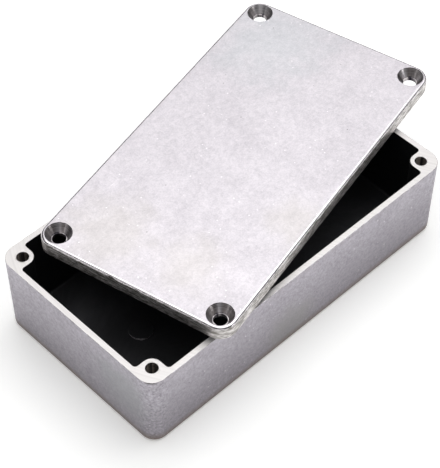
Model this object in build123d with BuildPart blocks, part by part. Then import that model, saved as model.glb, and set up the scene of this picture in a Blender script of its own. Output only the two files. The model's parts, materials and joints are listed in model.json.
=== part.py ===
from build123d import *
from math import radians, tan
import os

# Die-cast aluminium enclosure: an open box with a screw boss in each corner,
# and its lid, which lies turned across the open top.
# Millimetres and degrees. The origin is the centre of the box's underside,
# X runs along the long side and Y along the short side.

# Outline that the rim of the box and the lid share
case_length = 112.4
case_width = 60.5
corner_radius = 4.8

# Box casting
box_height = 27.0
outer_draft = 0.9
base_edge_radius = 1.4
rim_wall = 1.7
inner_draft = 2.5
floor_thickness = 2.2
floor_fillet = 0.8

# Corner bosses, with a blind tapped hole in each
hole_inset = 4.75
boss_radius = 3.0
boss_draft = 0.8
boss_fillet = 1.0
tap_radius = 1.45
tap_depth = 12.0
tap_chamfer = 0.3
drill_point_angle = 118

# Round pad that an ejector pin leaves on the floor
ejector_pad_x = -33.0
ejector_pad_radius = 3.6
ejector_pad_height = 0.3

# Lid casting, with a lip that drops inside the walls of the box
lid_edge = 4.3
lid_plate = 2.0
lid_top_radius = 0.8
lip_depth = 1.7
lip_wall = 1.5
lip_draft = 3.0
lip_clearance = 0.3

# Countersunk screw seats in the lid: a cone down to a narrow ledge, then the hole.
# Beneath, each has a shallow relief as wide as a boss, so that the lid bears on the rim.
screw_clearance_radius = 1.95
seat_foot_radius = 2.15
screw_head_radius = 3.8
screw_head_angle = 70
seat_relief_depth = 0.9

# Where the lid lies: its centre over the box, and its turn about Z
lid_center_x = 13.9
lid_center_y = 8.25
lid_turn = 13.5

cavity_length = case_length - 2 * rim_wall
cavity_width = case_width - 2 * rim_wall
cavity_corner_radius = corner_radius - rim_wall
cavity_depth = box_height - floor_thickness

hole_spacing_x = case_length - 2 * hole_inset
hole_spacing_y = case_width - 2 * hole_inset

# A boss is a square block on the cavity's corner, whose free corner is rounded about the hole
boss_block = 2 * (hole_inset + boss_radius - rim_wall)

drill_point = tap_radius / tan(radians(drill_point_angle / 2))
seat_depth = (screw_head_radius - seat_foot_radius) / tan(radians(screw_head_angle / 2))
lid_hollow = lid_edge + lip_depth - lid_plate

floor_plane = Plane.XY.offset(floor_thickness)
rim_plane = Plane.XY.offset(box_height)
lip_plane = Plane((lid_center_x, lid_center_y, box_height)).rotated((0, 0, lid_turn))
flange_plane = lip_plane.offset(lip_depth)
lid_top_plane = flange_plane.offset(lid_edge)

hanging = (Align.CENTER, Align.CENTER, Align.MAX)


def mouth_outline(gap):
    """The mouth of the cavity with its bosses left out, drawn in by a gap all round."""
    with BuildSketch() as outline:
        RectangleRounded(cavity_length, cavity_width, cavity_corner_radius)
        with GridLocations(cavity_length, cavity_width, 2, 2):
            RectangleRounded(boss_block, boss_block, boss_radius, mode=Mode.SUBTRACT)
        by_x = outline.vertices().group_by(Axis.X)
        by_y = outline.vertices().group_by(Axis.Y)
        fillet(by_x[0] + by_x[-1] + by_y[0] + by_y[-1], boss_fillet)
        offset(amount=-gap)
    return outline.sketch


# Cavity of the box: it narrows towards the floor, and the bosses stand in its corners
with BuildPart() as cavity:
    with BuildSketch(rim_plane):
        RectangleRounded(cavity_length, cavity_width, cavity_corner_radius)
    extrude(amount=-cavity_depth, taper=inner_draft)
    with BuildSketch(rim_plane):
        with GridLocations(cavity_length, cavity_width, 2, 2):
            RectangleRounded(boss_block, boss_block, boss_radius)
    extrude(amount=-cavity_depth, taper=-boss_draft, mode=Mode.SUBTRACT)
    upright = cavity.edges().filter_by(lambda edge: edge.bounding_box().size.Z > cavity_depth / 2)
    by_x = upright.group_by(Axis.X)
    by_y = upright.group_by(Axis.Y)
    fillet(by_x[0] + by_x[-1] + by_y[0] + by_y[-1], boss_fillet)
    fillet(cavity.faces().sort_by(Axis.Z)[0].edges(), floor_fillet)

# Box
with BuildPart() as box:
    with BuildSketch(rim_plane):
        RectangleRounded(case_length, case_width, corner_radius)
    extrude(amount=-box_height, taper=outer_draft)
    fillet(box.faces().sort_by(Axis.Z)[0].edges(), base_edge_radius)
    add(cavity.part, mode=Mode.SUBTRACT)

    with BuildSketch(floor_plane):
        with Locations((ejector_pad_x, 0)):
            Circle(ejector_pad_radius)
    extrude(amount=ejector_pad_height)

    with Locations(rim_plane):
        with GridLocations(hole_spacing_x, hole_spacing_y, 2, 2):
            Hole(tap_radius, depth=tap_depth)
            Cone(tap_radius, tap_radius + tap_chamfer, tap_chamfer, align=hanging, mode=Mode.SUBTRACT)
    with Locations(rim_plane.offset(-tap_depth)):
        with GridLocations(hole_spacing_x, hole_spacing_y, 2, 2):
            Cone(0, tap_radius, drill_point, align=hanging, mode=Mode.SUBTRACT)

# Lid: a rounded plate with a flange round its edge, hollow beneath
with BuildPart() as lid:
    with BuildSketch(flange_plane):
        RectangleRounded(case_length, case_width, corner_radius)
    extrude(amount=lid_edge)
    fillet(lid.faces().sort_by(Axis.Z)[-1].edges(), lid_top_radius)

    with BuildSketch(lip_plane):
        add(mouth_outline(lip_clearance))
    extrude(amount=lip_depth)
    with BuildSketch(lip_plane):
        add(mouth_outline(lip_clearance + lip_wall))
    extrude(amount=lid_hollow, taper=lip_draft, mode=Mode.SUBTRACT)

    with Locations(lid_top_plane):
        with GridLocations(hole_spacing_x, hole_spacing_y, 2, 2):
            Hole(screw_clearance_radius, depth=lid_edge)
            Cone(seat_foot_radius, screw_head_radius, seat_depth, align=hanging, mode=Mode.SUBTRACT)
    with Locations(flange_plane.offset(seat_relief_depth)):
        with GridLocations(hole_spacing_x, hole_spacing_y, 2, 2):
            Cylinder(boss_radius, seat_relief_depth, align=hanging, mode=Mode.SUBTRACT)

box.part.label = "box"
lid.part.label = "lid"

os.makedirs("parts", exist_ok=True)
export_step(box.part, "parts/box.step")
export_step(lid.part, "parts/lid.step")
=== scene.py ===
import json
from math import atan2, cos, radians, sin

import bpy
from mathutils import Matrix, Vector

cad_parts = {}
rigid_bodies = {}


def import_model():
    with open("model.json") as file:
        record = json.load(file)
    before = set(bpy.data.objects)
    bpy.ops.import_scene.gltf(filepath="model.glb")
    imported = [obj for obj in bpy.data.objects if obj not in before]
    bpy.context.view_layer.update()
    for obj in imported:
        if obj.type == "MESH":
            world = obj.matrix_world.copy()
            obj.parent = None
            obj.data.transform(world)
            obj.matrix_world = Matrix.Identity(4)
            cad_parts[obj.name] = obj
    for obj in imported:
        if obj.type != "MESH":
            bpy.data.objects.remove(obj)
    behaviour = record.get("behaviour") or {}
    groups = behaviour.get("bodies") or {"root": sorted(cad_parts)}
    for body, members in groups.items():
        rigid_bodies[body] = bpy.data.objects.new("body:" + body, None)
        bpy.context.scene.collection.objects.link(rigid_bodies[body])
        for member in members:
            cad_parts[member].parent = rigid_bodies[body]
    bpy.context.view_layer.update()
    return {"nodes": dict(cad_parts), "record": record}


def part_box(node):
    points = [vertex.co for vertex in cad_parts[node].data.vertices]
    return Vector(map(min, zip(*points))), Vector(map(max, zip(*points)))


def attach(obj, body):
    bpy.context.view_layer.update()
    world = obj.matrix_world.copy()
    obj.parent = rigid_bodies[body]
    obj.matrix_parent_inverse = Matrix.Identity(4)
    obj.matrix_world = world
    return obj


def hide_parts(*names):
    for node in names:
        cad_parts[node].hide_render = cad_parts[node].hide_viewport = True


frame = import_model()
mm = 0.001  # the frame is in metres

mounts = {mount["name"]: mount for mount in frame["record"]["mounts"]}
boxLow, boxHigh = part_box("box")
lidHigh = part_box("lid")[1]


# Small helpers

def deselectAll():
    for thing in bpy.context.view_layer.objects:
        thing.select_set(False)


def activate(piece):
    deselectAll()
    piece.select_set(True)
    bpy.context.view_layer.objects.active = piece


# Opens a piece in edit mode with all of it selected
def editAll(piece):
    activate(piece)
    bpy.ops.object.mode_set(mode="EDIT")
    bpy.ops.mesh.select_all(action="SELECT")


def applyModifiers(piece):
    activate(piece)
    for modifier in list(piece.modifiers):
        bpy.ops.object.modifier_apply(modifier=modifier.name)


# One sRGB hex colour as linear red, green, blue and alpha
def linearColour(hexColour):
    channels = [int(hexColour[i:i + 2], 16) / 255 for i in (1, 3, 5)]
    return tuple(c / 12.92 if c <= 0.04045 else ((c + 0.055) / 1.055) ** 2.4 for c in channels) + (1.0,)


# The scale of a pattern whose features are this many millimetres across
def perMillimetre(size):
    return 1 / (size * mm)


# Adds a node with its settings, and sets or links its inputs. A node given as an input is its first live
# output. A colour mix takes 0 as its factor, and 6 and 7 as the colours under and over.
def addNode(tree, kind, inputs=None, **settings):
    node = tree.nodes.new("ShaderNode" + kind)
    for name, value in settings.items():
        setattr(node, name, value)
    for name, value in (inputs or {}).items():
        if isinstance(value, bpy.types.Node):
            value = next(output for output in value.outputs if output.enabled)
        if isinstance(value, bpy.types.NodeSocket):
            tree.links.new(value, node.inputs[name])
        else:
            node.inputs[name].default_value = value
    return node


def newMaterial(name):
    material = bpy.data.materials.new(name)
    material.use_nodes = True
    material.node_tree.nodes.clear()
    return material, material.node_tree


# Camera, at the photograph's angle

cameraView = {
    "azimuth": -44.26,
    "elevation": 49.454,
    "roll": 0.101,
    "distance": 466.9 * mm,
    "aim": Vector((0, 0, 14 * mm)),
    "aside": -1.833 * mm,
    "above": 1.267 * mm,
    "lens": 128.09,
}


def addCamera(view):
    azimuth, elevation, roll = (radians(view[key]) for key in ("azimuth", "elevation", "roll"))
    back = Vector((sin(azimuth) * cos(elevation), -cos(azimuth) * cos(elevation), sin(elevation)))
    level = Vector((cos(azimuth), sin(azimuth), 0))
    upright = back.cross(level)
    right = cos(roll) * level + sin(roll) * upright
    up = back.cross(right)
    target = view["aim"] + view["aside"] * right + view["above"] * up
    camera = bpy.data.objects.new("camera", bpy.data.cameras.new("camera"))
    bpy.context.scene.collection.objects.link(camera)
    turn = Matrix((right, up, back)).transposed().to_4x4()
    camera.matrix_world = Matrix.Translation(target + view["distance"] * back) @ turn
    camera.data.lens = view["lens"]
    camera.data.clip_start = 10 * mm
    bpy.context.scene.camera = camera
    print("camera placed")


addCamera(cameraView)


# Floor, sky and softboxes

studio = {
    "floorSize": 6000 * mm,
    "floorColour": "#fcfcfb",
    "floorLift": 0.31,
    "skyMiddle": Vector((0.169, 0.173, 0.970)),  # over the object and a little behind it
    "skyFullWithin": 25,                         # degrees from there
    "skyDimBeyond": 58,
    "skyStrength": 0.32,
    "roomStrength": 0.045,
    "softboxes": {  # the overhead one is wide, so that the lid doesn't clip when seen from above
        "overheadSoftbox": {"at": Vector((0, 0, 1100 * mm)), "size": 1800 * mm, "power": 9.2},
        "rearSoftbox": {"at": Vector((280 * mm, 290 * mm, 1050 * mm)), "size": 900 * mm, "power": 2.8},
        "sideSoftbox": {"at": Vector((830 * mm, -180 * mm, 900 * mm)), "size": 900 * mm, "power": 2.0},
        "lowFrontSoftbox": {"at": Vector((430 * mm, -930 * mm, 200 * mm)), "size": 300 * mm, "power": 0.7},
        "lowLeftSoftbox": {"at": Vector((-1080 * mm, 230 * mm, 400 * mm)), "size": 220 * mm, "power": 0.22},
    },
}


def floorMaterial(look):
    # Seamless white paper: what sees it directly or in a reflection also gets a little lift
    material, tree = newMaterial("seamlessWhitePaper")
    path = addNode(tree, "LightPath")
    seen = addNode(tree, "Math", {0: path.outputs["Is Camera Ray"], 1: path.outputs["Is Glossy Ray"]},
                   operation="ADD")
    seen = addNode(tree, "Math", {0: seen, 1: path.outputs["Is Transmission Ray"]},
                   operation="ADD", use_clamp=True)
    lift = addNode(tree, "Math", {0: seen, 1: look["floorLift"]}, operation="MULTIPLY")
    paper = addNode(tree, "BsdfDiffuse", {"Color": linearColour(look["floorColour"])})
    glow = addNode(tree, "Emission", {"Strength": lift})
    addNode(tree, "OutputMaterial", {"Surface": addNode(tree, "AddShader", {0: paper, 1: glow})})
    return material


def addSky(look):
    # Pale above and behind, and dim all round, as in a room with its light over the table
    world = bpy.data.worlds.new("studioSky")
    world.use_nodes = True
    tree = world.node_tree
    tree.nodes.clear()
    direction = addNode(tree, "TexCoord").outputs["Generated"]
    nearness = addNode(tree, "VectorMath", {0: direction, 1: look["skyMiddle"]}, operation="DOT_PRODUCT")
    strength = addNode(tree, "MapRange", {
        "Value": nearness,
        "From Min": cos(radians(look["skyDimBeyond"])),
        "From Max": cos(radians(look["skyFullWithin"])),
        "To Min": look["roomStrength"],
        "To Max": look["skyStrength"],
    }, interpolation_type="SMOOTHSTEP")
    sky = addNode(tree, "Background", {"Color": (1, 1, 1, 1), "Strength": strength})
    addNode(tree, "OutputWorld", {"Surface": sky})
    bpy.context.scene.world = world


def addSoftbox(name, place, size, power):
    lamp = bpy.data.lights.new(name, "AREA")
    lamp.shape = "SQUARE"
    lamp.size = size
    lamp.energy = power
    softbox = bpy.data.objects.new(name, lamp)
    bpy.context.scene.collection.objects.link(softbox)
    softbox.location = place
    softbox.rotation_euler = place.to_track_quat("Z", "Y").to_euler()


def addStage(look):
    deselectAll()
    bpy.ops.mesh.primitive_plane_add(size=look["floorSize"], location=(0, 0, boxLow.z))
    floor = bpy.context.object
    floor.name = "floor"
    floor.data.materials.append(floorMaterial(look))
    addSky(look)
    for name, softbox in look["softboxes"].items():
        addSoftbox(name, softbox["at"], softbox["size"], softbox["power"])
    print("floor, sky and softboxes placed")


addStage(studio)


# Where the screws go, from the mounts

seatAxes = [Vector(mount["pos_m"]) for name, mount in mounts.items() if name.startswith("lid_hole")]
lidCentre = sum(seatAxes, Vector()) / len(seatAxes)
lidLengthways = Vector(mounts["lid_hole_right"]["pos_m"]) - Vector(mounts["lid_hole_near"]["pos_m"])
lidTurn = atan2(lidLengthways.y, lidLengthways.x)

bossDims = mounts["boss_holes"]["dims"]
screwReach = Vector((bossDims["spacing_x_mm"], bossDims["spacing_y_mm"])) * mm / 2  # from a casting's middle
bossAxes = [Vector((sx * screwReach.x, sy * screwReach.y, boxHigh.z)) for sx in (-1, 1) for sy in (-1, 1)]


# Finishes. Sizes are in millimetres. Two values that end in From and To are where something starts to show
# and where it shows in full: a distance, or a level of noise between 0 and 1.

# Dots or strokes at random: a share of the cells of a scattered pattern, each with one spot this far across.
# A stroke is a spot drawn out along one way.
def scattered(tree, place, seed, spacing, spot, share, way=0, drawnOut=1):
    shifted = addNode(tree, "Mapping", {
        "Vector": place,
        "Location": (seed, seed, seed),
        "Rotation": (0, 0, radians(way)),
        "Scale": (1 / drawnOut, 1, 1),
    })
    cells = addNode(tree, "TexVoronoi", {"Vector": shifted, "Scale": perMillimetre(spacing)})
    dot = addNode(tree, "MapRange", {
        "Value": cells,
        "From Min": spot / spacing / 2,
        "From Max": spot / spacing / 4,
    })
    draw = addNode(tree, "SeparateColor", {0: cells.outputs["Color"]})
    chosen = addNode(tree, "Math", {0: draw, 1: share}, operation="LESS_THAN")
    return addNode(tree, "Math", {0: dot, 1: chosen}, operation="MULTIPLY")


# The level way to a point from the nearest of a casting's four screws
def fromScrew(tree, own):
    folded = addNode(tree, "VectorMath", {0: own}, operation="ABSOLUTE")
    offset = addNode(tree, "VectorMath", {0: folded, 1: (screwReach.x, screwReach.y, 0)},
                     operation="SUBTRACT")
    return addNode(tree, "VectorMath", {0: offset, 1: (1, 1, 0)}, operation="MULTIPLY")


# How far a point lies beyond the screws on both sides, so that it is highest at an upright corner
def cornerReach(tree, own):
    offset = addNode(tree, "SeparateXYZ", {0: fromScrew(tree, own)})
    return addNode(tree, "Math", {0: offset.outputs["X"], 1: offset.outputs["Y"]}, operation="MINIMUM")


tumbledLid = {
    "dull": "#d0ccd1",
    "clean": "#f0ebf0",
    "speck": "#fffbff",
    "pit": "#8b878a",
    "roughness": 0.55,
    "roughnessSwing": 0.04,
    "sheenFrom": 0.3,       # the smoother patches follow the clouds
    "sheenTo": 0.7,
    "cloud": 14.0,
    "cloudiness": 0.35,     # how far a pattern swings between the two colours above
    "grain": 1.2,           # the finest grain is an eighth of that
    "graininess": 2.3,
    "dimple": 0.5,
    "dimpleDepth": 0.008,
    "crowd": 9.0,           # the specks lie in crowds about this far apart
    "crowdFrom": 0.42,
    "crowdTo": 0.62,
    "speckSeed": 0.3,
    "speckSpacing": 1.5,
    "speckSize": 0.55,      # real ones are half as wide: drawn coarser so that they show
    "speckShare": 0.16,
    "rubSpacing": 3.5,
    "rubSize": 0.22,
    "rubDrawnOut": 9,       # times longer than wide
    "rubShare": 0.25,
    "rubWays": (20, 75, 140),
    "pitSeed": 0.7,
    "pitSpacing": 3.0,
    "pitSize": 0.45,
    "pitShare": 0.045,
    "smudgeCover": 0.25,
    "smudgeFrom": 1.4,      # in shares of a smudge's reach
    "smudgeTo": 0.7,
    "smudges": [            # middle and reach in the casting's own frame, and colour
        ((-44, 14, 0), 20, "#e0dbd0"),
        ((-42, -10, 0), 16, "#e0dbd0"),
        ((-14, -27, 0), 15, "#e0dbd0"),
        ((42, 16, 0), 26, "#ccd8da"),
    ],
    "weathered": False,     # the marks below are on the box alone
}
tumbledBox = dict(
    tumbledLid,
    dull="#948f96",
    clean="#cac6ce",
    speck="#e9e4e9",
    pit="#6a666a",
    roughness=0.5,
    cloudiness=0.3,
    graininess=1.9,
    speckShare=0.1,
    pitShare=0.06,
    smudgeCover=0.6,
    smudges=[((-56, -19, 14), 15, "#a9abad"), ((-5, -30, 6), 14, "#aeadaa")],
    weathered=True,
    cornerSand=1.5,         # the grain is stronger round the upright corners
    cornerGrain=0.7,
    cornerFrom=-2.5,        # out from the screws
    cornerTo=0.5,
    cornerSpecks=0.3,
    paintedRimShade="#35312f",         # painted shade: a dark band just under the rim, round the corners
    rimShadeCover=0.95,
    rimShadeFrom=1.6,           # out from the screws
    rimShadeTo=2.9,
    rimShadeDepth=0.75,
    rimShadeFade=0.65,          # the share of its depth over which it fades
    paintedFootShade="#5a555a",         # painted shade: the walls darken towards the base, in patches
    paintedShadeHigh=24.0,
    paintedShadeCover=0.5,
    paintedShadePatch=7.0,
    paintedShadePatchiness=0.4,
    paintedContactShade="#705f4e",        # and a warm painted shade line round the base, where the wall meets the table
    contactShadeHigh=3.8,
    contactShadeLow=0.3,
    contactShadeCover=0.8,
)


# The painted shade towards the foot of the walls, in patches, and the warm painted shade line round the base,
# as masks and colours
def paintedShadeLayers(tree, look, place):
    height = addNode(tree, "SeparateXYZ", {0: place}).outputs["Z"]
    lowness = addNode(tree, "MapRange", {"Value": height, "From Min": look["paintedShadeHigh"] * mm,
                                         "From Max": 0.0})
    patches = addNode(tree, "TexNoise", {"Vector": place, "Scale": perMillimetre(look["paintedShadePatch"]),
                                         "Detail": 2.0})
    cover = addNode(tree, "Math", {0: patches, 1: look["paintedShadePatchiness"],
                                   2: look["paintedShadeCover"] - 0.5 * look["paintedShadePatchiness"]},
                    operation="MULTIPLY_ADD")
    cover = addNode(tree, "Math", {0: lowness, 1: cover}, operation="MULTIPLY", use_clamp=True)
    paintedContactShade = addNode(tree, "MapRange", {"Value": height, "From Min": look["contactShadeHigh"] * mm,
                                       "From Max": look["contactShadeLow"] * mm, "To Max": look["contactShadeCover"]})
    return [(cover, look["paintedFootShade"]), (paintedContactShade, look["paintedContactShade"])]


# Painted shade: a dark band just under the rim, at the corners alone
def paintedRimShadeLayer(tree, look, place, own):
    atCorner = addNode(tree, "MapRange", {"Value": cornerReach(tree, own), "From Min": look["rimShadeFrom"] * mm,
                                          "From Max": look["rimShadeTo"] * mm, "To Max": look["rimShadeCover"]})
    lowest = boxHigh.z - look["rimShadeDepth"] * mm
    belowRim = addNode(tree, "MapRange", {"Value": addNode(tree, "SeparateXYZ", {0: place}).outputs["Z"],
                                          "From Min": lowest,
                                          "From Max": lowest + look["rimShadeFade"] * look["rimShadeDepth"] * mm})
    return addNode(tree, "Math", {0: atCorner, 1: belowRim}, operation="MULTIPLY"), look["paintedRimShade"]


def tumbledAluminium(name, look, ownFrame):
    # Die-cast aluminium, tumbled with stones: a pale satin skin, finely dimpled all over and cloudy,
    # with burnished specks and short rubs where the stones struck, and a few open pits
    material, tree = newMaterial(name)
    place = addNode(tree, "TexCoord").outputs["Object"]
    own = addNode(tree, "Mapping", {"Vector": place, **ownFrame}, vector_type="TEXTURE")
    clouds = addNode(tree, "TexNoise", {"Vector": place, "Scale": perMillimetre(look["cloud"]), "Detail": 2.0,
                                        "Roughness": 0.95})
    grain = addNode(tree, "TexNoise", {"Vector": place, "Scale": perMillimetre(look["grain"]), "Detail": 3.0,
                                       "Roughness": 1.0})
    dimples = addNode(tree, "TexNoise", {"Vector": place, "Scale": perMillimetre(look["dimple"]),
                                         "Detail": 2.0, "Roughness": 0.6})
    crowds = addNode(tree, "TexNoise", {"Vector": place, "Scale": perMillimetre(look["crowd"]),
                                        "Detail": 1.0})
    share = addNode(tree, "MapRange", {"Value": crowds, "From Min": look["crowdFrom"],
                                       "From Max": look["crowdTo"], "To Max": 2 * look["speckShare"]})
    tone = addNode(tree, "Math", {0: clouds, 1: look["cloudiness"], 2: 0.5 - 0.5 * look["cloudiness"]},
                   operation="MULTIPLY_ADD")
    swing = addNode(tree, "Math", {0: grain, 1: 0.5}, operation="SUBTRACT")
    tone = addNode(tree, "Math", {0: swing, 1: look["graininess"], 2: tone}, operation="MULTIPLY_ADD")
    if look["weathered"]:
        corner = addNode(tree, "MapRange", {"Value": cornerReach(tree, own),
                                            "From Min": look["cornerFrom"] * mm,
                                            "From Max": look["cornerTo"] * mm})
        sand = addNode(tree, "TexNoise", {"Vector": place, "Scale": perMillimetre(look["cornerGrain"]),
                                          "Detail": 1.0})
        sand = addNode(tree, "Math", {0: sand, 1: 0.5}, operation="SUBTRACT")
        sand = addNode(tree, "Math", {0: sand, 1: corner}, operation="MULTIPLY")
        tone = addNode(tree, "Math", {0: sand, 1: look["cornerSand"], 2: tone}, operation="MULTIPLY_ADD")
        share = addNode(tree, "Math", {0: corner, 1: look["cornerSpecks"], 2: share},
                        operation="MULTIPLY_ADD")
    tone = addNode(tree, "Clamp", {0: tone})

    layers = []  # masks and colours, from the lowest up
    for middle, reach, tint in look["smudges"]:
        away = addNode(tree, "VectorMath", {0: own, 1: Vector(middle) * mm}, operation="DISTANCE")
        away = addNode(tree, "Math", {0: clouds, 1: reach * mm, 2: away}, operation="MULTIPLY_ADD")
        cover = addNode(tree, "MapRange", {"Value": away, "From Min": look["smudgeFrom"] * reach * mm,
                                           "From Max": look["smudgeTo"] * reach * mm,
                                           "To Max": look["smudgeCover"]},
                        interpolation_type="SMOOTHSTEP")
        layers.append((cover, tint))
    specks = scattered(tree, place, look["speckSeed"], look["speckSpacing"], look["speckSize"], share)
    layers.append((specks, look["speck"]))
    for way in look["rubWays"]:
        rubs = scattered(tree, place, way, look["rubSpacing"], look["rubSize"], look["rubShare"], way,
                         look["rubDrawnOut"])
        layers.append((rubs, look["speck"]))
    pits = scattered(tree, place, look["pitSeed"], look["pitSpacing"], look["pitSize"], look["pitShare"])
    layers.append((pits, look["pit"]))
    if look["weathered"]:
        layers += paintedShadeLayers(tree, look, place) + [paintedRimShadeLayer(tree, look, place, own)]
    colour = addNode(tree, "Mix", {0: tone, 6: linearColour(look["dull"]), 7: linearColour(look["clean"])},
                     data_type="RGBA")
    for mask, tint in layers:
        colour = addNode(tree, "Mix", {0: mask, 6: colour, 7: linearColour(tint)}, data_type="RGBA")
    sheen = addNode(tree, "MapRange", {"Value": clouds, "From Min": look["sheenFrom"],
                                       "From Max": look["sheenTo"],
                                       "To Min": look["roughness"] + look["roughnessSwing"],
                                       "To Max": look["roughness"] - look["roughnessSwing"]})
    metal = addNode(tree, "BsdfPrincipled", {
        "Base Color": colour,
        "Metallic": 1.0,
        "Roughness": sheen,
        "Normal": addNode(tree, "Bump", {"Height": dimples, "Distance": look["dimpleDepth"] * mm}),
    })
    addNode(tree, "OutputMaterial", {"Surface": metal})
    return material


filedEdge = {
    "gouge": "#3d3935",
    "dark": "#86827d",
    "bright": "#efebea",
    "rubbed": "#f6f1f5",
    "rubbedBelowTop": 0.6,
    "rubbedEdge": 0.9,      # how far the rubbed edge wanders up and down
    "rubbedFade": 0.15,
    "roughness": 0.5,
    "rubbedRoughness": 0.2,
    "streakLength": 2.6,
    "streakWidth": 0.42,    # real file marks are a tenth of this: drawn coarser so that they show
    "streakDepth": 0.02,
    "streakFrom": 0.4,
    "streakTo": 0.6,
    "gougeLength": 4.0,
    "gougeWidth": 0.36,
    "gougeFrom": 0.44,
    "gougeTo": 0.36,
    "gougeBelowTop": 0.9,
    "gougeSpread": 0.6,
}


def filedAluminium(look, ownFrame):
    # The flash round the lid's edge is filed off lengthways: bright and dark streaks along the edge with
    # some deep gouges, under a ragged line where the tumbling has rubbed the round pale and smooth
    material, tree = newMaterial("filedAluminium")
    place = addNode(tree, "TexCoord").outputs["Object"]
    own = addNode(tree, "Mapping", {"Vector": place, **ownFrame}, vector_type="TEXTURE")
    marks = []
    for kind in ("streak", "gouge"):
        long, wide = perMillimetre(look[kind + "Length"]), perMillimetre(look[kind + "Width"])
        drawn = addNode(tree, "VectorMath", {0: own, 1: (long, long, wide)}, operation="MULTIPLY")
        marks.append(addNode(tree, "TexNoise", {"Vector": drawn, "Scale": 1.0, "Detail": 3.0,
                                                "Roughness": 0.8}))
    streaks, gouges = marks
    tone = addNode(tree, "MapRange", {"Value": streaks, "From Min": look["streakFrom"],
                                      "From Max": look["streakTo"]})
    colour = addNode(tree, "Mix", {0: tone, 6: linearColour(look["dark"]), 7: linearColour(look["bright"])},
                     data_type="RGBA")

    height = addNode(tree, "SeparateXYZ", {0: place}).outputs["Z"]
    wander = addNode(tree, "Math", {0: streaks, 1: look["rubbedEdge"] * mm, 2: height},
                     operation="MULTIPLY_ADD")
    rubbedFrom = lidHigh.z + (0.5 * look["rubbedEdge"] - look["rubbedBelowTop"]) * mm
    rubbed = addNode(tree, "MapRange", {"Value": wander, "From Min": rubbedFrom,
                                        "From Max": rubbedFrom + look["rubbedFade"] * mm})
    colour = addNode(tree, "Mix", {0: rubbed, 6: colour, 7: linearColour(look["rubbed"])}, data_type="RGBA")
    near = addNode(tree, "Math", {0: height, 1: lidHigh.z - look["gougeBelowTop"] * mm,
                                  2: look["gougeSpread"] * mm}, operation="COMPARE")
    deep = addNode(tree, "MapRange", {"Value": gouges, "From Min": look["gougeFrom"],
                                      "From Max": look["gougeTo"]})
    deep = addNode(tree, "Math", {0: deep, 1: near}, operation="MULTIPLY")
    colour = addNode(tree, "Mix", {0: deep, 6: colour, 7: linearColour(look["gouge"])}, data_type="RGBA")
    sheen = addNode(tree, "MapRange", {"Value": rubbed, "To Min": look["roughness"],
                                       "To Max": look["rubbedRoughness"]})
    metal = addNode(tree, "BsdfPrincipled", {
        "Base Color": colour,
        "Metallic": 1.0,
        "Roughness": sheen,
        "Normal": addNode(tree, "Bump", {"Height": streaks, "Distance": look["streakDepth"] * mm}),
    })
    addNode(tree, "OutputMaterial", {"Surface": metal})
    return material


milledRim = {
    "colour": "#ebe8e7",
    "shade": "#e3e0df",
    "roughness": 0.6,
    "cutterRadius": 60.0,
    "feed": 0.8,            # the real cutter marks are half as far apart: drawn coarser so that they show
    "feedDepth": 0.004,
    "feedFrom": 0.3,
    "feedTo": 0.6,
    "smear": "#9d978c",     # dirt round each tapped hole, in patches
    "smearFrom": 2.4,       # out from the hole's middle
    "smearTo": 1.68,
    "smearCover": 0.6,
    "smearPatch": 1.3,
    "patchFrom": 0.48,
    "patchTo": 0.66,
}


def milledAluminium(look, ownFrame):
    # The rim is milled flat after casting: clean bright metal with the faint arcs of a wide cutter
    material, tree = newMaterial("milledAluminium")
    place = addNode(tree, "TexCoord").outputs["Object"]
    apart = addNode(tree, "SeparateXYZ", {0: place})
    across = addNode(tree, "Math", {0: apart.outputs["Y"], 1: apart.outputs["Y"]}, operation="MULTIPLY")
    chord = addNode(tree, "Math", {0: (look["cutterRadius"] * mm) ** 2, 1: across}, operation="SUBTRACT")
    chord = addNode(tree, "Math", {0: chord, 1: 0.5}, operation="POWER")
    along = addNode(tree, "Math", {0: apart.outputs["X"], 1: chord}, operation="ADD")
    marks = addNode(tree, "TexNoise", {"W": along, "Scale": perMillimetre(look["feed"]), "Detail": 2.0},
                    noise_dimensions="1D")
    tone = addNode(tree, "MapRange", {"Value": marks, "From Min": look["feedFrom"],
                                      "From Max": look["feedTo"]})
    colour = addNode(tree, "Mix", {0: tone, 6: linearColour(look["shade"]), 7: linearColour(look["colour"])},
                     data_type="RGBA")
    own = addNode(tree, "Mapping", {"Vector": place, **ownFrame}, vector_type="TEXTURE")
    away = addNode(tree, "VectorMath", {0: fromScrew(tree, own)}, operation="LENGTH")
    close = addNode(tree, "MapRange", {"Value": away, "From Min": look["smearFrom"] * mm,
                                       "From Max": look["smearTo"] * mm, "To Max": look["smearCover"]})
    patches = addNode(tree, "TexNoise", {"Vector": place, "Scale": perMillimetre(look["smearPatch"]),
                                         "Detail": 2.0})
    patches = addNode(tree, "MapRange", {"Value": patches, "From Min": look["patchFrom"],
                                         "From Max": look["patchTo"]})
    smear = addNode(tree, "Math", {0: close, 1: patches}, operation="MULTIPLY")
    colour = addNode(tree, "Mix", {0: smear, 6: colour, 7: linearColour(look["smear"])}, data_type="RGBA")
    metal = addNode(tree, "BsdfPrincipled", {
        "Base Color": colour,
        "Metallic": 1.0,
        "Roughness": look["roughness"],
        "Normal": addNode(tree, "Bump", {"Height": marks, "Distance": look["feedDepth"] * mm}),
    })
    addNode(tree, "OutputMaterial", {"Surface": metal})
    return material


# Colours far darker than bare aluminium: partly the as-cast skin, mostly painted shade inside the box and
# under the lid
castInsidePaintedDark = {
    "dull": "#4b4b4e",
    "clean": "#5f5f63",
    "roughness": 0.5,
    "roughnessSwing": 0.08,
    "flow": 22.0,
    "flowFrom": 0.35,
    "flowTo": 0.65,
    "grain": 0.8,
    "grainDepth": 0.01,
}


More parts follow.
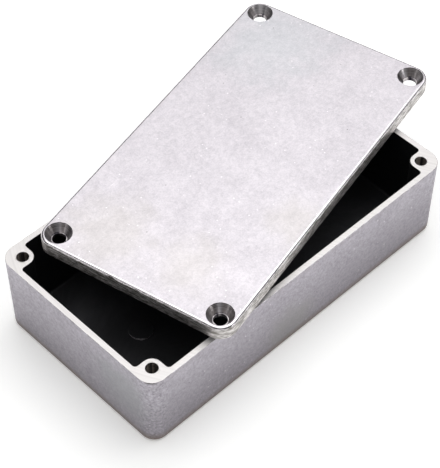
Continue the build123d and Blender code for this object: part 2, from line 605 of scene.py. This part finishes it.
def asCastAluminium(look):
    # Inside, the skin is as it left the die: smoother and marked by the flow of the metal, a little darker as
    # cast and darker still as painted shade for the cavity and under the lid
    material, tree = newMaterial("asCastAluminium")
    place = addNode(tree, "TexCoord").outputs["Object"]
    swirl = addNode(tree, "TexNoise", {"Vector": place, "Scale": perMillimetre(look["flow"]), "Detail": 5.0,
                                       "Roughness": 0.6, "Distortion": 1.5})
    tone = addNode(tree, "MapRange", {"Value": swirl, "From Min": look["flowFrom"],
                                      "From Max": look["flowTo"]})
    colour = addNode(tree, "Mix", {0: tone, 6: linearColour(look["dull"]), 7: linearColour(look["clean"])},
                     data_type="RGBA")
    sheen = addNode(tree, "MapRange", {"Value": tone, "To Min": look["roughness"] + look["roughnessSwing"],
                                       "To Max": look["roughness"] - look["roughnessSwing"]})
    grain = addNode(tree, "TexNoise", {"Vector": place, "Scale": perMillimetre(look["grain"]), "Detail": 3.0})
    metal = addNode(tree, "BsdfPrincipled", {
        "Base Color": colour,
        "Metallic": 1.0,
        "Roughness": sheen,
        "Normal": addNode(tree, "Bump", {"Height": grain, "Distance": look["grainDepth"] * mm}),
    })
    addNode(tree, "OutputMaterial", {"Surface": metal})
    return material


turnedSeats = {
    # dull and clean span both the real tool rings and the painted highlight and shade wedges
    "dull": "#5d5b60",
    "clean": "#f2eef0",
    "warm": "#7d6c60",      # left by the cutting oil
    "warmSpread": 0.7,      # warm wedges for each one of the painted ones
    "warmFrom": 0.5,
    "warmTo": 0.62,
    "warmCover": 0.3,
    "roughness": 0.29,
    "drawnAcross": 0.85,
    "paintedFootShade": "#46434a",      # painted shade on the narrow ledge at the foot of the cone
    # painted highlight on the ledge, where a light wedge meets it
    "paintedFootHighlight": "#bdb8b9",
    "footReach": 2.3,
    "ring": 0.45,           # real tool marks are a third as wide: drawn coarser so that they show
    "ringDepth": 0.03,
    "ringFrom": 0.3,
    "ringTo": 0.7,
    "ringShare": 0.5,       # of the light and dark, and the painted highlight and shade wedges have the rest
    "paintedWedgesPerRadian": 1.3,         # painted light and dark wedges in a radian
    "paintedWedgesFrom": 0.4,
    "paintedWedgesTo": 0.6,
    "screwShift": (3, 7, 0),  # so that no two seats have the same painted wedges
}
# Near-black colours: painted shade down the tapped holes, and their lighter wedges are painted glints on the
# thread
tappedHolesPaintedDark = dict(turnedSeats, dull="#1b1919", clean="#4a4440", paintedFootShade="#1b1919", paintedFootHighlight="#5d5651",
                   roughness=0.3, drawnAcross=0.0)


def turnedAluminium(name, look, ownFrame):
    # Cut by a countersink: rings round the hole, which draw the light out across them, under lighter and
    # darker wedges of painted highlight and painted shade that stand in for streaks of reflected light
    material, tree = newMaterial(name)
    place = addNode(tree, "TexCoord").outputs["Object"]
    own = addNode(tree, "Mapping", {"Vector": place, **ownFrame}, vector_type="TEXTURE")
    offset = fromScrew(tree, own)
    radius = addNode(tree, "VectorMath", {0: offset}, operation="LENGTH")
    height = addNode(tree, "SeparateXYZ", {0: place}).outputs["Z"]
    across = addNode(tree, "Math", {0: radius, 1: height}, operation="ADD")
    rings = addNode(tree, "TexNoise", {"W": across, "Scale": perMillimetre(look["ring"]), "Detail": 1.0},
                    noise_dimensions="1D")
    lines = addNode(tree, "MapRange", {"Value": rings, "From Min": look["ringFrom"],
                                       "From Max": look["ringTo"], "To Max": look["ringShare"]})
    around = addNode(tree, "VectorMath", {0: offset}, operation="NORMALIZE")
    whichScrew = addNode(tree, "VectorMath", {0: own}, operation="SIGN")
    around = addNode(tree, "VectorMath", {0: whichScrew, 1: look["screwShift"], 2: around},
                     operation="MULTIPLY_ADD")
    paintedWedges = addNode(tree, "TexNoise", {"Vector": around, "Scale": look["paintedWedgesPerRadian"], "Detail": 1.0})
    paintedWedges = addNode(tree, "MapRange", {"Value": paintedWedges, "From Min": look["paintedWedgesFrom"],
                                        "From Max": look["paintedWedgesTo"]})
    tone = addNode(tree, "Math", {0: paintedWedges, 1: 1 - look["ringShare"], 2: lines}, operation="MULTIPLY_ADD")
    oil = addNode(tree, "TexNoise", {"Vector": around, "Scale": look["warmSpread"] * look["paintedWedgesPerRadian"],
                                     "Detail": 0.0})
    oil = addNode(tree, "MapRange", {"Value": oil, "From Min": look["warmFrom"], "From Max": look["warmTo"],
                                     "To Max": look["warmCover"]})
    atFoot = addNode(tree, "Math", {0: radius, 1: look["footReach"] * mm}, operation="LESS_THAN")
    footHighlightMask = addNode(tree, "Math", {0: atFoot, 1: paintedWedges}, operation="MULTIPLY")
    colour = addNode(tree, "Mix", {0: tone, 6: linearColour(look["dull"]), 7: linearColour(look["clean"])},
                     data_type="RGBA")
    for mask, tint in ((oil, look["warm"]), (atFoot, look["paintedFootShade"]), (footHighlightMask, look["paintedFootHighlight"])):
        colour = addNode(tree, "Mix", {0: mask, 6: colour, 7: linearColour(tint)}, data_type="RGBA")
    metal = addNode(tree, "BsdfPrincipled", {
        "Base Color": colour,
        "Metallic": 1.0,
        "Roughness": look["roughness"],
        "Anisotropic": look["drawnAcross"],
        "Tangent": addNode(tree, "CombineXYZ", {"Z": 1.0}),
        "Normal": addNode(tree, "Bump", {"Height": rings, "Distance": look["ringDepth"] * mm}),
    })
    addNode(tree, "OutputMaterial", {"Surface": metal})
    return material


burnishedEdge = {
    "dull": "#6e6a6c",
    "bright": "#d6d1d5",
    "roughness": 0.2,
    "wear": 2.5,
    "wearFrom": 0.35,
    "wearTo": 0.65,
}


def burnishedAluminium(look):
    # The stones polish every edge as they break it: a thin smooth line, bright in places and dark in others
    material, tree = newMaterial("burnishedAluminium")
    place = addNode(tree, "TexCoord").outputs["Object"]
    wear = addNode(tree, "TexNoise", {"Vector": place, "Scale": perMillimetre(look["wear"]), "Detail": 3.0})
    tone = addNode(tree, "MapRange", {"Value": wear, "From Min": look["wearFrom"],
                                      "From Max": look["wearTo"]})
    colour = addNode(tree, "Mix", {0: tone, 6: linearColour(look["dull"]), 7: linearColour(look["bright"])},
                     data_type="RGBA")
    metal = addNode(tree, "BsdfPrincipled", {
        "Base Color": colour,
        "Metallic": 1.0,
        "Roughness": look["roughness"],
    })
    addNode(tree, "OutputMaterial", {"Surface": metal})
    return material


# The castings: a merged copy of each CAD piece, with its sharp edges broken

casting = {
    "mergeWithin": 0.001 * mm,
    "dissolveWithin": 0.02,     # degrees between two faces that count as one flat face
    "flatWithin": 0.01 * mm,    # of the rim's or the lid's top
    "edgeBreak": 0.12 * mm,
    "rimEdgeBreak": 0.22 * mm,  # where the milling meets the tumbled outside
    "edgeSegments": 3,
    "sliverWithin": 0.004 * mm,  # what the bevel leaves thinner than this is closed up
    "breakBeyond": 28,          # degrees between two faces, where an edge is broken
    "smoothWithin": 50,         # and where they are shaded as one, as over a round
    "level": 0.99,              # how far up the normal of a level face points, at least
    "down": -0.5,               # of a face that looks down, at most
    "coneUp": 0.2,              # and of a seat's cone, at least
    "bossReach": 1.9 * mm,      # just past a tapped hole's chamfer
    "holeReach": 2.2 * mm,      # just past the ledge in a seat
    "seatReach": 3.85 * mm,     # just past a seat's rim
    "lidEdge": 4.3 * mm,        # down to where the lip starts
}

# Each casting's own frame, which its screws and smudges are laid out in
boxFrame = {"Location": Vector(), "Rotation": (0, 0, 0)}
lidFrame = {"Location": lidCentre, "Rotation": (0, 0, lidTurn)}
inside = asCastAluminium(castInsidePaintedDark)
edges = burnishedAluminium(burnishedEdge)
boxFinishes = {
    "asCast": inside,
    "milled": milledAluminium(milledRim, boxFrame),
    "tumbled": tumbledAluminium("tumbledAluminiumBox", tumbledBox, boxFrame),
    "turned": turnedAluminium("tappedAluminium", tappedHolesPaintedDark, boxFrame),
    "burnished": edges,
}
lidFinishes = {
    "asCast": inside,
    "filed": filedAluminium(filedEdge, lidFrame),
    "tumbled": tumbledAluminium("tumbledAluminiumLid", tumbledLid, lidFrame),
    "turned": turnedAluminium("turnedAluminium", turnedSeats, lidFrame),
    "burnished": edges,
}
print("finishes made")


def nearAxis(point, axes, reach):
    return any((point.xy - axis.xy).length < reach for axis in axes)


# The outside of the box faces away from its middle or down, and the cavity faces in or up
def boxFinish(centre, normal):
    if centre.z > boxHigh.z - casting["flatWithin"] and normal.z > casting["level"]:
        return "milled"
    if nearAxis(centre, bossAxes, casting["bossReach"]):
        return "turned"
    outward = normal.x * centre.x / boxHigh.x + normal.y * centre.y / boxHigh.y
    return "tumbled" if outward > abs(normal.z) or normal.z < casting["down"] else "asCast"


# The top is tumbled, the edge round it filed, the screw seats turned, and all that faces down is as cast
def lidFinish(centre, normal):
    if normal.z < casting["down"] or centre.z < lidHigh.z - casting["lidEdge"]:
        return "asCast"
    if centre.z > lidHigh.z - casting["flatWithin"] and normal.z > casting["level"]:
        return "tumbled"
    if nearAxis(centre, seatAxes, casting["holeReach"]):
        return "turned"
    if nearAxis(centre, seatAxes, casting["seatReach"]):
        return "turned" if normal.z > casting["coneUp"] else "asCast"
    return "filed"


# Marks the sharp edges for the bevel: wide where the rim meets the outside, and narrow elsewhere
def markEdges(mesh, names):
    meeting = {}
    for face in mesh.polygons:
        for key in face.edge_keys:
            meeting.setdefault(key, []).append(face)
    weights = mesh.attributes.new("bevel_weight_edge", "FLOAT", "EDGE")
    for edge in mesh.edges:
        faces = meeting[edge.key]
        if len(faces) == 2 and faces[0].normal.angle(faces[1].normal) > radians(casting["breakBeyond"]):
            atRim = {names[face.material_index] for face in faces} == {"milled", "tumbled"}
            width = casting["rimEdgeBreak"] if atRim else casting["edgeBreak"]
            weights.data[edge.index].value = width / casting["rimEdgeBreak"]


def addCasting(name, node, finishes, finishOf):
    source = frame["nodes"][node]
    piece = source.copy()
    piece.data = source.data.copy()
    piece.name = piece.data.name = name
    for key in list(piece.keys()):  # the marks of the CAD node stay with the node
        del piece[key]
    piece.parent = None
    bpy.context.scene.collection.objects.link(piece)
    editAll(piece)
    bpy.ops.mesh.remove_doubles(threshold=casting["mergeWithin"])
    bpy.ops.mesh.dissolve_limited(angle_limit=radians(casting["dissolveWithin"]))
    bpy.ops.object.mode_set(mode="OBJECT")
    bpy.ops.mesh.customdata_custom_splitnormals_clear()

    piece.data.materials.clear()
    for finish in finishes.values():
        piece.data.materials.append(finish)
    names = list(finishes)
    for face in piece.data.polygons:
        face.material_index = names.index(finishOf(face.center, face.normal))

    markEdges(piece.data, names)
    bevel = piece.modifiers.new("edgeBreak", "BEVEL")
    bevel.width = casting["rimEdgeBreak"]
    bevel.segments = casting["edgeSegments"]
    bevel.limit_method = "WEIGHT"
    bevel.material = names.index("burnished")
    bevel.use_clamp_overlap = True
    applyModifiers(piece)
    editAll(piece)
    bpy.ops.mesh.remove_doubles(threshold=casting["sliverWithin"])
    bpy.ops.object.mode_set(mode="OBJECT")
    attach(piece, "root")
    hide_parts(node)
    return piece


# Flat faces keep their own shade beside the rounds
def smoothCasting(piece):
    activate(piece)
    bpy.ops.object.shade_smooth_by_angle(angle=radians(casting["smoothWithin"]))
    flats = piece.modifiers.new("flatFacesStayFlat", "WEIGHTED_NORMAL")
    flats.keep_sharp = True
    applyModifiers(piece)
    print(piece.name, "made with", len(piece.data.polygons), "faces")


castBox = addCasting("castBox", "box", boxFinishes, boxFinish)
castLid = addCasting("castLid", "lid", lidFinishes, lidFinish)


# The thread in each boss, cut by a closed coil of the groove's section

thread = {
    "pitch": 0.6 * mm,
    "turns": 16,
    "stepsRound": 24,
    "innerRadius": 1.35 * mm,      # inside the bore, so that the coil cuts right through its wall
    "innerHalf": 0.283 * mm,       # half the groove's width there
    "rootRadius": 1.75 * mm,
    "rootHalf": 0.0375 * mm,
    "runOut": 0.3 * mm,            # above the rim
}


def addThreadCutter(look, axis):
    deselectAll()
    bpy.ops.mesh.primitive_plane_add(size=1)
    cutter = bpy.context.object
    cutter.name = "threadCutter"
    editAll(cutter)
    bpy.ops.mesh.delete(type="ONLY_FACE")
    bpy.ops.object.mode_set(mode="OBJECT")
    for corner in cutter.data.vertices:
        end = "root" if corner.co.x > 0 else "inner"
        side = 1 if corner.co.y > 0 else -1
        corner.co = (look[end + "Radius"], 0, side * look[end + "Half"])
    coil = cutter.modifiers.new("coil", "SCREW")
    coil.screw_offset = -look["pitch"]
    coil.iterations = look["turns"]
    coil.steps = coil.render_steps = look["stepsRound"]
    coil.use_normal_calculate = True
    applyModifiers(cutter)
    editAll(cutter)
    bpy.ops.mesh.fill_holes(sides=4)
    bpy.ops.mesh.select_all(action="SELECT")
    bpy.ops.mesh.normals_make_consistent(inside=False)
    bpy.ops.object.mode_set(mode="OBJECT")
    cutter.location = axis + Vector((0, 0, look["runOut"]))
    bpy.ops.object.transform_apply(location=True)
    for finish in boxFinishes.values():
        cutter.data.materials.append(finish)
    cut = list(boxFinishes).index("turned")
    for face in cutter.data.polygons:
        face.material_index = cut
    return cutter


def cutThreads(piece, look, axes):
    for axis in axes:
        cutter = addThreadCutter(look, axis)
        cut = piece.modifiers.new("thread", "BOOLEAN")
        cut.operation = "DIFFERENCE"
        cut.solver = "MANIFOLD"
        cut.object = cutter
        applyModifiers(piece)
        bpy.data.objects.remove(cutter)
    print("threads cut in", len(axes), "bosses")


cutThreads(castBox, thread, bossAxes)
smoothCasting(castBox)
smoothCasting(castLid)


# View settings

bpy.context.scene.view_settings.view_transform = "Standard"
